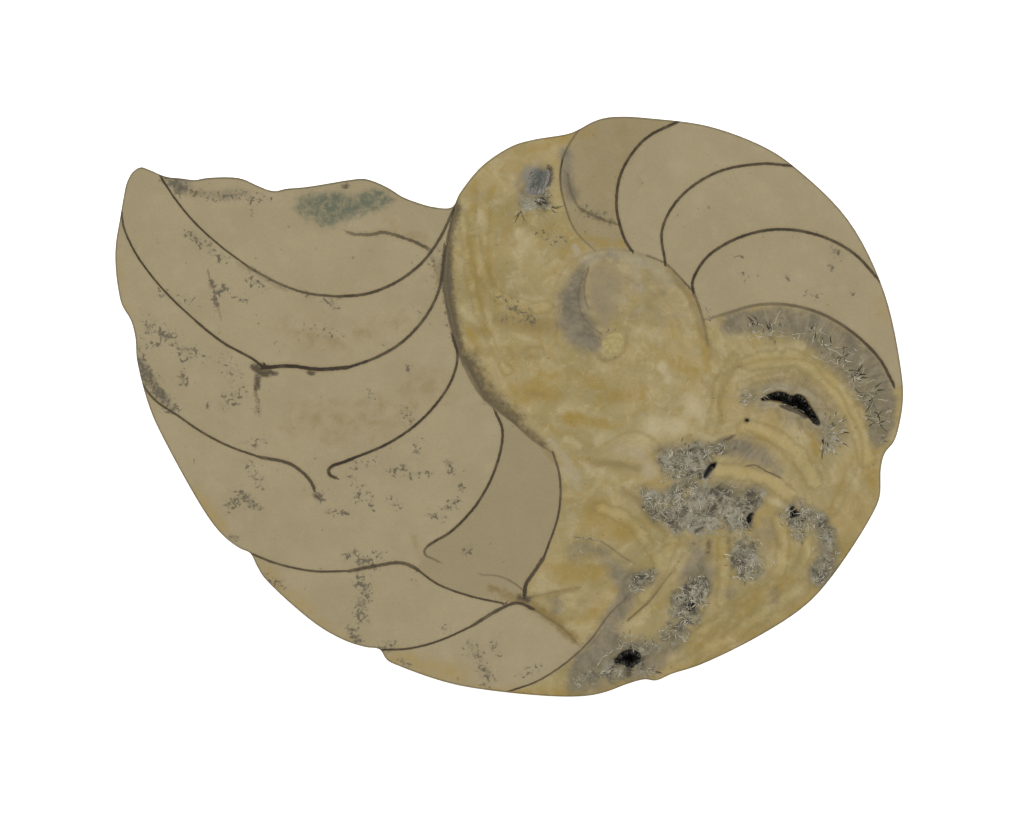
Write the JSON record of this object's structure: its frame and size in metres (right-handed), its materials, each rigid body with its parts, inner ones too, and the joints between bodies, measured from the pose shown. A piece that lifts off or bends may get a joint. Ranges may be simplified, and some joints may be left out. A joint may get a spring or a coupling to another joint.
{
  "type": "cenoceras nautiloid fossil",
  "caption": "Half of a fossil nautiloid shell, sawn through its middle and polished, with a rounded flank that rests on a worn flat spot.",
  "frame": {"origin": "centre of the outline, at the height of the flat spot that the fossil rests on", "axes": "+Z is the normal of the polished cut, which faces up; +X runs along the longest way across the cut, from the broken tip to the older chambers; +Y points to the side where the broken edge is"},
  "size_m": [0.1418, 0.1044, 0.0316],
  "materials": {
    "limestone": "polished on the cut, matt on the flank",
    "calcite": "crystalline"
  },
  "bodies": {
    "root": {"nautiloid_half": "limestone", "crescent_vug_crystals": "calcite", "lower_vug_crystals": "calcite", "upper_vug_crystals": "calcite"}
  },
  "joints": []
}
